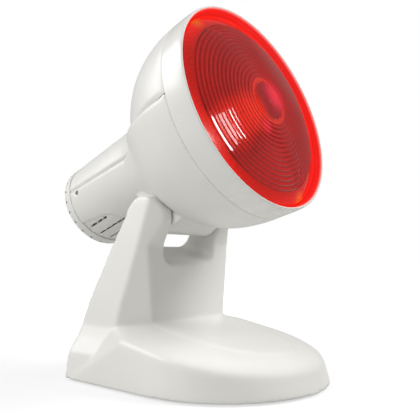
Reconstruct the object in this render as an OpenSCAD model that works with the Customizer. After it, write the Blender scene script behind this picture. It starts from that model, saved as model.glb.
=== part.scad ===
// Infrared heat therapy lamp.
// A reflector bulb sits in a tilting bell-shaped head, carried between the two
// arms of a fork that grows out of the foot. Units are millimetres.
// X runs across the lamp, Y towards its back and Z up. The origin lies on the
// ground, straight below the tilt axis.

/* [Foot] */
// Width of the foot at the ground
foot_w = 122; // [118:0.2:126]
// Depth of the foot at the ground
foot_d = 132.6; // [128:0.2:136]
// Height of the foot's front rim above the ground
rim_h = 9.6; // [9:0.1:11]
// Rise of the rim towards the back, per millimetre
rim_slope = 0.18; // [0.16:0.01:0.2]
// How far the rim stands in from the ground line
skirt_in = 2.8; // [2.4:0.1:3.4]
// Height of the crowned pad above the rim
pad_rise = 7.2; // [6.5:0.1:8]

/* [Fork] */
// Height of the tilt axis above the ground
pivot_h = 95.5; // [95:0.1:97]
// Radius of the rounded arm heads
arm_r = 12.5; // [12:0.1:13]
// Clear width between the arms
fork_gap = 45; // [44.6:0.2:46]
// Height of the finger opening's lower edge at the front
window_h = 67; // [64:0.5:70]

/* [Head] */
// Upward tilt of the lamp axis at rest, in degrees
tilt = 16.6; // [14:0.1:19]
// Outer diameter of the neck
neck_d = 59.6; // [59:0.1:61]
// Length of the head from the front opening to the rear cap
head_l = 153.5; // [152:0.5:155]

/* [Bulb] */
// Largest diameter of the reflector bulb
bulb_d = 120.6; // [120:0.1:121]
// Clearance between the bulb's rim and the front opening
rim_gap = 1.7; // [1.5:0.1:2]
// Number of moulded rings in the front glass
ring_count = 15; // [12:1:18]

/* [Construction] */
// Wall thickness of the plastic mouldings
wall = 2.4; // [2.2:0.1:2.6]
// Running clearance between moving bodies
gap = 0.3; // [0.25:0.05:0.4]
// Facets around large round surfaces
facets = 96; // [64:16:128]

/* [Hidden] */

// Foot outline: half a long ellipse in front, straight sides, flat back.
foot_back = 38.9;
foot_rx = foot_w / 2;
foot_ry = 61.7;
foot_cy = foot_back - foot_d + foot_ry;
rim_rx = foot_rx - skirt_in;
rim_ry = foot_ry - skirt_in;
rim_y0 = foot_cy - rim_ry;
rim_a = atan(rim_slope);
rim_back = 12;
rim_cut = [8, 17];
pad_rx = 31.9;
pad_ry = 47;
pad_cy = -29.2;

// Fork side view as [y, z] points, and front view as [x, z] points.
pivot_y = 0;
front_y = -5.5;
fork_k = pivot_h / 95.5;
fork_rear = [for (p = [[40.4, 12], [40.6, 24], [39.9, 33], [36.4, 44], [32, 55], [27.4, 65],
    [23.2, 75], [18.8, 84], [14.4, 92.7]]) [p[0], p[1] * fork_k]];
arm_edge = [for (p = [[foot_rx, 0], [57.4, 16], [51.4, 24.5], [48.2, 31.5], [46.2, 47],
    [43.8, 61.4], [42, 73], [39.9, 87.3], [38.3, 97.8], [36.8, 108.6]]) [p[0], p[1] * fork_k]];
// Bevel planes that turn the front face into the sides: y = b0 + bx |x| + bz z.
bevel_b0 = -31.3;
bevel_bx = 0.891;
bevel_bz = -0.085;

// Plates and fasteners low in the foot.
skirt_z = 0.8;
feet_h = 1.6;
plate_z = feet_h;
plate_t = 2.4;
feet_pos = [[-42, -46], [42, -46], [-48, 26], [48, 26]];
boss_pos = [[-30, -62], [30, -62], [-50, 12], [50, 12]];
cover_pos = [[-33, 31], [33, 31], [-22, 60], [22, 60]];

// Tilt axis pieces.
drum_r = 9.7;
drum_w = fork_gap - 2 * 0.75;
cheek_t = 2.8;
shoulder_r = 3.5;
bolt_r = 2.5;
nut_hole_r = 5.2;
pocket_x = 41;
pocket_r = arm_r + 0.6;
nut_x1 = 10.4;

// Head frame: the origin is the middle of the front opening and +Z points out
// of it along the lamp axis, so depth behind the opening is -Z.
lens_y = -58.8;
lens_z = pivot_h + 63;
collar_s = 13;
neck_s = 72;
droop = 4.07;
neck_r = neck_d / 2;
bulb_r = bulb_d / 2;
opening_r = bulb_r + rim_gap;
bell_r = opening_r + 2;
bell_k = opening_r / 62;
cap_r = 13.2;

// Depths behind the opening, worked out from the rear end of the head.
post_x = 18.6;
cap_t = 7;
cap_s = head_l - cap_t;
screw_s = cap_s - 7.5;
plate_s = cap_s - 8.5;
holder_s = cap_s - 10;
tip_s = cap_s - 24.5;
cap_s0 = tip_s - 25.5;
shell_s = tip_s + 5;
coil_s = 36;
coil_r = 9;
wire_s = cap_s0 - 13.5;
wire_r = 2.4;

// Front glass: a domed disc of rings round a button, inside a plain bevel band.
dome_r = 52.5;
dome_h = 8;
dome_s = 0;
dome_R = (dome_r * dome_r + dome_h * dome_h) / (2 * dome_h);
button_r = 12.5;

function dome(r) = dome_s - dome_h + dome_R - sqrt(dome_R * dome_R - r * r);

// Bell outlines as [depth, radius] Bezier control points, upper and lower.
upper_bell = [[collar_s, bell_r], [34, 63.6 * bell_k], [50, 56 * bell_k], [62, 43.6 * bell_k]];
upper_flare = [[62, 43.6 * bell_k], [69, 36.3 * bell_k], [78, neck_r + 0.4], [90, neck_r - 2.6]];
lower_bell = [[collar_s, bell_r], [38, 64.2 * bell_k], [54, 58.2 * bell_k], [65, 45.6 * bell_k]];
lower_flare = [[65, 45.6 * bell_k], [72, 37.8 * bell_k], [80, neck_r + 2.6], [92, neck_r - 1.6]];

function bez(p, t) = pow(1 - t, 3) * p[0] + 3 * pow(1 - t, 2) * t * p[1]
    + 3 * (1 - t) * t * t * p[2] + pow(t, 3) * p[3];
function bez_line(p, n, last = 1) = [for (i = [0 : n]) bez(p, last * i / n)];
function flip(points) = [for (i = [len(points) - 1 : -1 : 0]) points[i]];

// ---- shared shapes ---------------------------------------------------------

// Half-ellipse nose with straight sides running back to y1, and cut corners.
module foot_plan(rx, ry, y1, cut = [5, 5], n = 48) {
    nose = [for (i = [0 : n]) [rx * cos(180 * i / n), foot_cy - ry * sin(180 * i / n)]];
    polygon(concat([[-rx, y1 - cut[1]], [-rx + cut[0], y1], [rx - cut[0], y1],
        [rx, y1 - cut[1]]], nose));
}

// The foot as a solid: skirt up to the sloping rim, then a crown up to the pad.
module foot_solid(inset = 0) {
    hull() {
        translate([0, 0, inset > 0 ? -2 : skirt_z])
            linear_extrude(0.5)
                foot_plan(foot_rx - inset, foot_ry - inset, foot_back - inset);
        translate([0, rim_y0, rim_h - inset])
            rotate([rim_a, 0, 0])
                translate([0, -rim_y0, -0.5])
                    linear_extrude(0.5)
                        foot_plan(rim_rx - inset, rim_ry - inset, rim_back - inset, rim_cut);
    }
    hull()
        for (k = [0 : 6])
            translate([0, rim_y0, rim_h - inset + pad_rise * sin(15 * k)])
                rotate([rim_a, 0, 0])
                    translate([0, -rim_y0, -0.5])
                        linear_extrude(0.5)
                            foot_crown(cos(15 * k), inset);
}

// One level of the crown, between the rim outline (k = 1) and the pad (k = 0).
module foot_crown(k, inset) {
    rx = pad_rx + 1 + (rim_rx - pad_rx - 1) * k - inset;
    ry = pad_ry + 1 + (rim_ry - pad_ry - 1) * k - inset;
    cy = pad_cy + (foot_cy - pad_cy) * k;
    nose = [for (i = [0 : 36]) [rx * cos(5 * i), cy - ry * sin(5 * i)]];
    polygon(concat([[-rx, rim_back - rim_cut[1]], [-rx + rim_cut[0], rim_back],
        [rx - rim_cut[0], rim_back], [rx, rim_back - rim_cut[1]]], nose));
}

// Raised pad on the crown.
module pad_solid() {
    translate([0, rim_y0, rim_h + pad_rise])
        rotate([rim_a, 0, 0])
            translate([0, -rim_y0, -3])
                linear_extrude(4)
                    foot_crown(0, 1);
}

// Side view swept across the lamp.
module side_sweep(points, width) {
    rotate([90, 0, 90])
        linear_extrude(width, center = true)
            polygon(points);
}

// Front view swept along the depth.
module front_sweep(points, y0, y1) {
    translate([0, y1, 0])
        rotate([90, 0, 0])
            linear_extrude(y1 - y0)
                polygon(points);
}

// Disc across the lamp, centred on the tilt axis.
module pivot_disc(r, x0, x1) {
    translate([x0, pivot_y, pivot_h])
        rotate([0, 90, 0])
            cylinder(h = x1 - x0, r = r, $fn = facets);
}

// Fork as a solid, with every face moved inwards by inset.
module fork_solid(inset = 0) {
    i = inset;
    rear = [for (p = fork_rear) [p[0] - 1.1 * i, p[1]]];
    edge = [for (p = arm_edge) [p[0] - i, p[1]]];
    front = [[10.6 - i, pivot_h + 4.3 - i / 2], [0, pivot_h + 8.5 - i], [-10.5 + i, pivot_h + 2.5],
        [-10.8 + i, pivot_h - 6], [front_y + i, pivot_h - 16.5], [front_y + i, i > 0 ? -2 : skirt_z]];
    difference() {
        intersection() {
            union() {
                side_sweep(concat([[39 - i, i > 0 ? -2 : skirt_z]], rear, front), 140);
                pivot_disc(arm_r - i, -60, 60);
            }
            front_sweep(concat(edge, flip([for (p = edge) [-p[0], p[1]]])), -30, 52);
        }
        fork_bevel(i);
        mirror([1, 0, 0])
            fork_bevel(i);
    }
}

// Wedge removed in front of one bevel plane.
module fork_bevel(inset) {
    lean = -atan(bevel_bz / sqrt(1 + bevel_bx * bevel_bx));
    translate([0, bevel_b0 + 1.35 * inset, 0])
        rotate([0, 0, atan(bevel_bx)])
            rotate([lean, 0, 0])
                translate([-20, -40, -20])
                    cube([140, 40, 160]);
}

// Gap between the arms: the finger opening with its rising lower edge.
module fork_slot(grow = 0) {
    half = fork_gap / 2 + grow;
    floor_z = window_h - grow;
    r = max(7 - grow, 3);
    climb = 24.5;
    translate([0, front_y, floor_z])
        rotate([climb, 0, 0])
            translate([0, -30, 0])
                rotate([-90, 0, 0])
                    linear_extrude(90) {
                        translate([-half, -70])
                            square([2 * half, 70 - r]);
                        translate([-half + r, -20])
                            square([2 * half - 2 * r, 20]);
                        for (x = [-half + r, half - r])
                            translate([x, -r])
                                circle(r, $fn = 48);
                    }
}

// Places things modelled in the head frame.
module in_head() {
    translate([0, lens_y, lens_z])
        rotate([90 - tilt, 0, 0])
            children();
}

// Places things modelled on the neck axis, which droops from the lamp axis.
module in_neck() {
    in_head()
        translate([0, 0, -neck_s])
            rotate([-droop, 0, 0])
                children();
}

// Solid of revolution about the lamp axis from [depth, radius] points.
module lathe(points, n = facets) {
    rotate_extrude($fn = n)
        polygon([for (p = points) [p[1], -p[0]]]);
}

// Head volume behind the collar, shrunk by inset: a bell on the lamp axis and
// a plain neck on the drooping axis, which meet in the flare.
module head_solid(bell, flare, r_end, inset = 0, back = cap_s) {
    front = inset > 0 ? collar_s - 1 : collar_s;
    mouth = inset > 0 ? [[front, bell[0][1] - inset]] : [];
    bell_pts = [for (p = bez_line(bell, 12)) p - [0, inset]];
    flare_pts = [for (i = [1 : 7]) bez(flare, i / 7) - [0, inset]];
    in_head()
        lathe(concat([[front, 0]], mouth, bell_pts, flare_pts, [[flare[3][0], 0]]));
    in_neck()
        lathe([[-4, 0], [-4, r_end - inset], [back - neck_s, r_end - inset],
            [back - neck_s, 0]]);
}

// Half space above (side = 1) or below (side = -1) the lamp axis.
module head_half(side) {
    in_head()
        translate([-bell_r * 1.5, side > 0 ? 0 : -bell_r * 2, -head_l - 40])
            cube([bell_r * 3, bell_r * 2, head_l + 60]);
}

// Screw standing on the origin: its head above z = 0 and its shank below.
module screw(r, len, head_r, head_h) {
    cylinder(h = head_h, r = head_r, $fn = 32);
    translate([0, 0, -len])
        cylinder(h = len + 0.01, r = r, $fn = 32);
}

// Ring with its axis along X, from x0 to x1, on both sides of the lamp.
module pivot_rings(r_in, r_out, x0, x1) {
    for (side = [-1, 1])
        difference() {
            pivot_disc(r_out, side > 0 ? x0 : -x1, side > 0 ? x1 : -x0);
            pivot_disc(r_in, side > 0 ? x0 - 1 : -x1 - 1, side > 0 ? x1 + 1 : 1 - x0);
        }
}

// ---- foot and fork ---------------------------------------------------------

// Rear opening of the fork, as a slab just inside the rear face.
module cover_zone(depth, clear) {
    band = concat([for (p = fork_rear) if (p[1] > 20 && p[1] < 90) [p[0] + 3, p[1]]],
        flip([for (p = fork_rear) if (p[1] > 20 && p[1] < 90) [p[0] - depth, p[1]]]));
    edge = [for (p = arm_edge) if (p[1] > 20 && p[1] < 90) [p[0] - wall - 0.8 - clear, p[1]]];
    difference() {
        intersection() {
            side_sweep(band, 120);
            front_sweep(concat(edge, flip([for (p = edge) [-p[0], p[1]]])), -8, 52);
        }
        fork_slot(cheek_t + clear);
    }
}

// Screw posts of the fork cover, running forward from its inner face.
module cover_posts(r) {
    for (p = cover_pos)
        translate([p[0], 50, p[1]])
            rotate([90, 0, 0])
                cylinder(h = 56, r = r, $fn = 32);
}

// One moulding: skirt, crown, pad, and the hollow fork that rises from them.
module base_shell() {
    color("#E9E8E4")
        difference() {
            union() {
                difference() {
                    union() {
                        foot_solid();
                        pad_solid();
                        fork_solid();
                    }
                    difference() {
                        union() {
                            foot_solid(wall);
                            fork_solid(wall);
                        }
                        fork_slot(cheek_t);
                    }
                    cover_zone(8, 0);
                }
                intersection() {
                    union() {
                        for (p = boss_pos)
                            translate([p[0], p[1], plate_z + plate_t])
                                cylinder(h = 60, r = 3.8, $fn = 32);
                        intersection() {
                            cover_posts(3.8);
                            translate([-60, -28, 5])
                                cube([120, 60, 90]);
                        }
                    }
                    union() {
                        foot_solid(1);
                        fork_solid(1);
                    }
                    side_sweep(concat([[-108, 4], [32, 4]],
                        [for (p = fork_rear) [p[0] - 2.4 - wall, p[1]]], [[-108, 110]]), 130);
                }
                translate([0, 41.2, 12])
                    rotate([90, 0, 0])
                        cylinder(h = 6, r = 9, $fn = 48);
            }
            fork_slot();
            pivot_disc(shoulder_r + 0.05, -fork_gap / 2 - cheek_t - 0.2, fork_gap / 2 + cheek_t + 0.2);
            for (p = boss_pos)
                translate([p[0], p[1], 0])
                    cylinder(h = 14.5, r = 1.5, $fn = 24);
            for (p = cover_pos)
                translate([p[0], 52, p[1]])
                    rotate([90, 0, 0])
                        cylinder(h = 40, r = 1.5, $fn = 24);
            translate([0, 47, 12])
                rotate([90, 0, 0])
                    cylinder(h = 15, r = 5, $fn = 48);
        }
}

// Rear panel that closes the hollow fork below and beside the finger opening.
module fork_cover() {
    color("#E4E3DF")
        difference() {
            intersection() {
                cover_zone(2.2, 0.25);
                fork_solid();
            }
            for (p = cover_pos)
                translate([p[0], 52, p[1]])
                    rotate([90, 0, 0])
                        cylinder(h = 40, r = 1.6, $fn = 24);
            cover_heads(0.1);
        }
}

// Heads of the cover screws, sunk square to the lamp's depth.
module cover_heads(clear) {
    for (p = cover_pos)
        translate([p[0], cover_y(p[1]) + (clear > 0 ? 8 : 0), p[1]])
            rotate([90, 0, 0])
                cylinder(h = clear > 0 ? 8 : 1, r = 2.8 + clear, $fn = 32);
}

// Depth of the sunk screw seats at height z, just behind the cover's outer face.
function cover_y(z) = z < 45 ? 38.4 : 28.2;

module cover_screws() {
    color("#B9BBBD")
        for (p = cover_pos)
            translate([p[0], cover_y(p[1]), p[1]])
                rotate([-90, 0, 0])
                    screw(1.4, 16, 2.8, 1.1);
}

// Flat plate that closes the foot from below.
module bottom_plate() {
    color("#55585A")
        difference() {
            translate([0, 0, plate_z])
                linear_extrude(plate_t)
                    foot_plan(foot_rx - 4.2, foot_ry - 4.2, foot_back - 3.2);
            for (p = boss_pos) {
                translate([p[0], p[1], 0])
                    cylinder(h = 6, r = 1.6, $fn = 24);
                translate([p[0], p[1], 0])
                    cylinder(h = plate_z + 1.2, r = 3.1, $fn = 32);
            }
            for (i = [-4 : 4])
                translate([i * 7 - 1.2, 2, 0])
                    cube([2.4, 8, 6]);
        }
}

// Steel disc that keeps the lamp from tipping.
module ballast() {
    color("#6D7073")
        translate([0, -34, plate_z + plate_t])
            difference() {
                cylinder(h = 8, r = 34, $fn = facets);
                translate([0, 0, -1])
                    cylinder(h = 10, r = 3, $fn = 32);
            }
}

module feet() {
    color("#2B2C2D")
        for (p = feet_pos)
            translate([p[0], p[1], 0])
                difference() {
                    cylinder(h = feet_h, r = 6, $fn = 48);
                    translate([0, 0, -1])
                        cylinder(h = 1.6, r = 2.5, $fn = 32);
                }
}

module base_screws() {
    color("#B9BBBD")
        for (p = boss_pos)
            translate([p[0], p[1], plate_z + 1.2])
                rotate([180, 0, 0])
                    screw(1.4, 10, 2.9, 1);
}

// Bush in the rear wall that the supply lead passes through.
module cord_gland() {
    color("#D9D8D4")
        translate([0, 43, 12])
            rotate([90, 0, 0])
                difference() {
                    union() {
                        cylinder(h = 1.8, r = 7, $fn = 48);
                        cylinder(h = 9, r = 4.95, $fn = 48);
                    }
                    translate([0, 0, -1])
                        cylinder(h = 12, r = 3.4, $fn = 48);
                }
}

// Two-pole terminal block for the supply lead.
module terminal_block() {
    color("#EFEFEA")
        translate([-10, 13, plate_z + plate_t])
            difference() {
                cube([20, 9, 11]);
                for (x = [5, 15]) {
                    translate([x, -1, 6])
                        rotate([-90, 0, 0])
                            cylinder(h = 11, r = 1.8, $fn = 24);
                    translate([x, 4.5, 6])
                        cylinder(h = 6, r = 2, $fn = 24);
                }
            }
}

// ---- tilt axis -------------------------------------------------------------

module friction_washers() {
    color("#3A3B3C")
        pivot_rings(shoulder_r + gap, 6.6, drum_w / 2 + gap, fork_gap / 2);
}

module spring_washers() {
    color("#C9CBCD")
        pivot_rings(shoulder_r + gap, 5, fork_gap / 2 + cheek_t, fork_gap / 2 + cheek_t + 0.5);
}

// Shoulder bolts: the shoulder turns in the arm, the thread holds in the drum.
module pivot_bolts() {
    x1 = fork_gap / 2 + cheek_t + 0.5 + gap;
    color("#C9CBCD")
        for (side = [-1, 1])
            difference() {
                union() {
                    pivot_disc(bolt_r, side > 0 ? nut_x1 - 5 : -nut_x1 - 0.2,
                        side > 0 ? nut_x1 + 0.2 : 5 - nut_x1);
                    pivot_disc(shoulder_r, side > 0 ? nut_x1 + 0.1 : -x1 - 0.1,
                        side > 0 ? x1 + 0.1 : -nut_x1 - 0.1);
                    pivot_disc(4.9, side > 0 ? x1 : -x1 - 3, side > 0 ? x1 + 3 : -x1);
                }
                translate([side * (x1 + 1.2), pivot_y, pivot_h])
                    rotate([0, 90 * side, 0])
                        cylinder(h = 4, r = 2.3, $fn = 6);
            }
}

module pivot_nuts() {
    color("#C9CBCD")
        for (side = [-1, 1])
            difference() {
                translate([side > 0 ? nut_x1 - 4 : -nut_x1, pivot_y, pivot_h])
                    rotate([0, 90, 0])
                        cylinder(h = 4, r = 4.6, $fn = 6);
                pivot_disc(bolt_r + 0.03, -nut_x1 - 2, nut_x1 + 2);
            }
}

// ---- head ------------------------------------------------------------------

// Drum between the arms and the saddle that joins it to the bell.
module drum_saddle() {
    pivot_disc(drum_r, -drum_w / 2, drum_w / 2);
    translate([0, 0, pivot_h])
        side_sweep([[-26.4, 2.3], [-14, -2.9], [-9, -5.3], [-5.4, -8.1], [0, -9.6], [5.4, -8.1],
            [12, -1], [20, 5.5], [20, 20.5], [-26.4, 20.5]], drum_w);
}

// Round pockets in the bell that the arm heads stand in.
module arm_pockets(r) {
    for (side = [-1, 1])
        pivot_disc(r, side > 0 ? drum_w / 2 : -pocket_x, side > 0 ? pocket_x : -drum_w / 2);
}

// Long vent slots along the underside of the neck.
module neck_vents() {
    slot_w = 1.8;
    for (side = [-1, 1], slot = [[9.5, 27], [26, 26], [42.5, 16]])
        in_neck()
            rotate([0, 0, side * slot[0]])
                translate([0, -neck_r - 2, neck_s - cap_s + 4]) {
                    translate([-slot_w / 2, 0, 0])
                        cube([slot_w, 6, slot[1]]);
                    for (z = [0, slot[1]])
                        translate([0, 0, z])
                            rotate([-90, 0, 0])
                                cylinder(h = 6, r = slot_w / 2, $fn = 24);
                }
}

// Shallow arched panel that the vent slots are cut in.
module vent_panel() {
    half = 54;
    edge = [for (a = [-half : 6 : half])
        [neck_r * sin(a), 33 * pow(1 - pow(abs(a) / half, 3), 1 / 3)]];
    in_neck()
        difference() {
            translate([0, 0, neck_s - cap_s])
                rotate([90, 0, 0])
                    linear_extrude(neck_r + 4)
                        polygon(concat([[edge[0][0], -3]], edge, [[-edge[0][0], -3]]));
            translate([0, 0, neck_s - cap_s - 5])
                cylinder(h = 50, r = neck_r - 0.6, $fn = facets);
        }
}

// Radial holes for the two neck screws.
module neck_holes(r) {
    in_neck()
        translate([-40, 1.5, neck_s - screw_s])
            rotate([0, 90, 0])
                cylinder(h = 80, r = r, $fn = 24);
}

// Lower half of the head with the drum it tilts on.
module head_lower() {
    color("#E6E5E1")
        difference() {
            union() {
                intersection() {
                    head_solid(lower_bell, lower_flare, neck_r + 0.3);
                    head_half(-1);
                }
                drum_saddle();
            }
            difference() {
                head_solid(lower_bell, lower_flare, neck_r + 0.3, wall);
                in_head()
                    translate([-bell_r * 1.5, -wall, -head_l - 40])
                        cube([bell_r * 3, bell_r, head_l + 60]);
                holder_posts(5);
                arm_pockets(pocket_r + 2);
            }
            difference() {
                head_solid(upper_bell, upper_flare, neck_r, wall);
                holder_posts(5);
                arm_pockets(pocket_r + 2);
            }
            arm_pockets(pocket_r);
            in_head()
                for (x = [-post_x, post_x])
                    translate([x, -post_x, -plate_s])
                        cylinder(h = 12, r = 1.5, $fn = 24);
            pivot_disc(nut_hole_r, -nut_x1 - 0.1, nut_x1 + 0.1);
            pivot_disc(shoulder_r + 0.02, -drum_w / 2 - 1, drum_w / 2 + 1);
            neck_vents();
            vent_panel();
            neck_holes(1.6);
        }
}

// Posts that carry the lampholder bracket.
module holder_posts(r) {
    in_head()
        for (x = [-post_x, post_x])
            translate([x, -post_x, -holder_s])
                cylinder(h = 21, r = r, $fn = 32);
}

module head_upper() {
    color("#ECEBE7")
        difference() {
            intersection() {
                head_solid(upper_bell, upper_flare, neck_r);
                head_half(1);
            }
            head_solid(upper_bell, upper_flare, neck_r, wall);
        }
}

// Ring around the front opening, with a spigot that closes both halves.
module front_collar() {
    color("#DEDDD9")
        in_head()
            lathe([[0, opening_r], [-1.4, opening_r + 0.5], [-1.8, opening_r + 1.1],
                [-1.3, opening_r + 1.7], [0.6, opening_r + 2.1], [6, opening_r + 2.2],
                [collar_s, bell_r], [collar_s, opening_r - 0.9], [collar_s + 5, opening_r - 0.9],
                [collar_s + 5, opening_r - 2.8], [collar_s + 1.4, opening_r - 2.8],
                [collar_s - 1, opening_r - 0.4]]);
}

// Polished sheet bowl between the bulb and the plastic bell.
module heat_shield() {
    s0 = collar_s + 5;
    r0 = opening_r - 3.3;
    bowl = [for (p = [[18.8, 58.7], [30, 56.5], [42, 51.5], [52, 45.5], [60, 38.8], [66, 34.6],
        [72, 31.4]]) [p[0], p[1] * bell_k]];
    color("#C4C6C8")
        in_head()
            lathe(concat([[s0, r0], [s0, opening_r - 1.2], [s0 + 0.8, opening_r - 1.2],
                [s0 + 0.8, r0 + 1]],
                [for (i = [1 : 6]) bowl[i] + [0, 0.9]], flip(bowl)));
}

// Vented cap with two tabs that the neck screws hold.
module neck_cap() {
    n0 = cap_s - neck_s;
    n1 = n0 + cap_t - 1;
    color("#DAD9D5")
        difference() {
            in_neck() {
                difference() {
                    lathe([[n0, 0], [n0, neck_r + 0.2], [n1, neck_r], [n1 + 0.9, neck_r - 1.2],
                        [n1 + 1.4, 18], [n1 + 1.6, 0]]);
                    lathe([[n0 - 1, 0], [n0 - 1, neck_r - 2.2], [n1 - 1.2, neck_r - 2.2],
                        [n1 - 0.4, 0]]);
                    for (x = [-3 : 3])
                        translate([x * 6 - 1.1, -sqrt(484 - 36 * x * x), -n1 - 7])
                            cube([2.2, 2 * sqrt(484 - 36 * x * x), 12]);
                    for (a = [0 : 15 : 345])
                        rotate([0, 0, a])
                            translate([-0.9, neck_r - 4, 0.4 - n1])
                                cube([1.8, 8, 1.4]);
                }
                intersection() {
                    lathe([[n0 - 9, 24.9], [n0 - 9, 27.1], [n0 + 0.5, 27.1], [n0 + 0.5, 24.9]]);
                    translate([-40, -10, -n0 - 2])
                        cube([80, 20, 20]);
                }
                for (side = [-1, 1])
                    intersection() {
                        lathe([[n0 + 0.2, 24.9], [n0 + 0.2, neck_r - 1], [n0 + 2.2, neck_r - 1],
                            [n0 + 2.2, 24.9]]);
                        translate([side * 27 - 5, -10, -n0 - 4])
                            cube([10, 20, 8]);
                    }
            }
            neck_holes(1.45);
        }
}

module neck_screws() {
    color("#B9BBBD")
        for (side = [-1, 1])
            in_neck()
                translate([side * (neck_r - 1.4), 1.5, neck_s - screw_s])
                    rotate([0, 90 * side, 0])
                        screw(1.4, 6, 1.55, 0.8);
}

// Steel plate across the neck that the lampholder is screwed to.
module holder_bracket() {
    color("#AEB1B4")
        in_head()
            translate([0, 0, -plate_s])
                difference() {
                    linear_extrude(1.5)
                        union() {
                            circle(15, $fn = 48);
                            for (x = [-post_x, post_x])
                                translate([x, -post_x])
                                    circle(3.8, $fn = 32);
                            for (a = [-45, -135])
                                rotate([0, 0, a])
                                    translate([0, -3])
                                        square([26.3, 6]);
                        }
                    for (x = [-post_x, post_x])
                        translate([x, -post_x, -1])
                            cylinder(h = 4, r = 1.6, $fn = 24);
                    for (x = [-9, 9])
                        translate([x, 0, -1])
                            cylinder(h = 4, r = 1.6, $fn = 24);
                }
}

module holder_screws() {
    color("#B9BBBD")
        in_head()
            for (p = [[-post_x, -post_x], [post_x, -post_x], [-9, 0], [9, 0]])
                translate([p[0], p[1], -plate_s])
                    rotate([180, 0, 0])
                        screw(1.4, 8, 2.6, 1.2);
}

// Porcelain lampholder.
module holder_body() {
    color("#F2F0EA")
        in_head()
            difference() {
                lathe([[shell_s - 28.5, 14.15], [shell_s - 28.5, 16.5], [shell_s - 26.5, 19],
                    [shell_s - 24, 20], [holder_s - 2, 20], [holder_s, 18.5], [holder_s, 0],
                    [shell_s, 0], [shell_s, 14.15]]);
                for (x = [-9, 9])
                    translate([x, 0, -holder_s - 0.5])
                        cylinder(h = 8.5, r = 1.5, $fn = 24);
            }
}

// Brass screw shell.
module holder_shell() {
    color("#B08D45")
        in_head()
            lathe([[shell_s - 27.5, cap_r + gap], [shell_s - 27.5, 14.1], [shell_s, 14.1],
                [shell_s, cap_r + gap]]);
}

// Spring contact in the floor of the lampholder.
module holder_contact() {
    color("#B08D45")
        in_head()
            lathe([[tip_s + gap, 0], [tip_s + gap, 4], [tip_s + 1, 4], [tip_s + 1, 2], [shell_s, 2],
                [shell_s, 0]], 32);
}

// Thermal cut-out resting on the bracket.
module thermal_fuse() {
    color("#8C8F92")
        in_head()
            translate([-6, 8, -plate_s - 2.2])
                rotate([0, 90, 0])
                    cylinder(h = 12, r = 2.2, $fn = 32);
}

// ---- bulb ------------------------------------------------------------------

// Red front glass: plain bevel band, stepped rings and a centre button.
module bulb_lens() {
    pitch = (dome_r - button_r) / ring_count;
    rings = [for (i = [0 : ring_count - 1], k = [0, 1])
        let (r = dome_r - i * pitch - (k == 0 ? 0 : pitch * 0.25))
        [dome(r) - (k == 0 ? -0.05 : 0.25), r]];
    back = [for (i = [0 : 6]) [dome(i * 8) + 3, i * 8]];
    color("#B3140F")
        in_head()
            lathe(concat([[4.5, 57.6], [4.5, bulb_r], [3.6, bulb_r], [2.6, bulb_r - 0.8]], rings,
                [[dome(button_r) + 0.1, button_r], [dome(button_r) - 0.7, button_r - 0.8],
                [dome(0) - 0.9, 0]], back));
}

// Mirrored glass bowl of the bulb.
module bulb_reflector() {
    bowl = [for (p = [[0, 60.3], [0.056, 57.4], [0.18, 51.5], [0.35, 43], [0.52, 33.5],
        [0.667, 25.5], [0.78, 20], [0.893, 16.6], [0.96, 13.6]])
        [9 + (cap_s0 - 9) * p[0], p[1] * bulb_r / 60.3]];
    color("#9A9DA0")
        in_head()
            lathe(concat([[4.5, bulb_r - 2.1], [4.5, bulb_r]], bowl, [[cap_s0, 11.6],
                [cap_s0 + 6.5, 11.6], [cap_s0 + 6.5, 9.6], [cap_s0 - 1, 9.6]],
                flip([for (p = bowl) p - [0.5, 2.1]])));
}

// Screw cap with its thread ridges.
module bulb_cap() {
    ridge = [for (i = [0 : 36]) [cap_s0 + 2.5 + 0.5 * i, cap_r - 0.4 + 0.4 * cos(180 * i / 3.63)]];
    color("#C8B27A")
        in_head()
            lathe(concat([[cap_s0 + 0.1, 11.65], [cap_s0 + 0.1, 12.4], [cap_s0 + 1.9, cap_r - 0.2]],
                ridge, [[tip_s - 3.6, 11.8], [tip_s - 3.6, 11], [tip_s - 5.4, 11.65]]), 72);
}

module bulb_insulator() {
    color("#1B1B1D")
        in_head()
            lathe([[tip_s - 3.6, 4.8], [tip_s - 3.6, 11.6], [tip_s - 2.2, 10.6], [tip_s - 0.9, 5.6],
                [tip_s - 0.9, 4.8]], 48);
}

module bulb_contact() {
    color("#C7CACC")
        in_head()
            lathe([[tip_s - 3.6, 0], [tip_s - 3.6, 4.75], [tip_s - 0.6, 4.75], [tip_s, 3.4],
                [tip_s, 0]], 32);
}

// Coiled filament bent to an arc around the lamp axis.
module bulb_filament() {
    color("#8A8C90")
        in_head()
            translate([0, 0, -coil_s])
                rotate([0, 0, -120])
                    rotate_extrude(angle = 240, $fn = 48)
                        translate([coil_r, 0])
                            circle(0.9, $fn = 24);
}

// Glass stem and the wires that hold the filament.
module bulb_supports() {
    color("#D5D7D8")
        in_head() {
            lathe([[cap_s0 - 15.5, 0], [cap_s0 - 15.5, 3.2], [cap_s0 - 1.5, 3.6], [cap_s0 + 1.5, 9.5],
                [cap_s0 + 3.5, 9.5], [cap_s0 + 3.5, 0]], 32);
            for (a = [-120, 0, 120])
                rotate([0, 0, a])
                    translate([wire_r, 0, -wire_s])
                        rotate([0, atan((coil_r - wire_r) / (wire_s - coil_s)), 0])
                            cylinder(h = norm([coil_r - wire_r, wire_s - coil_s]) - 0.95, r = 0.5,
                                $fn = 16);
        }
}

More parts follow.
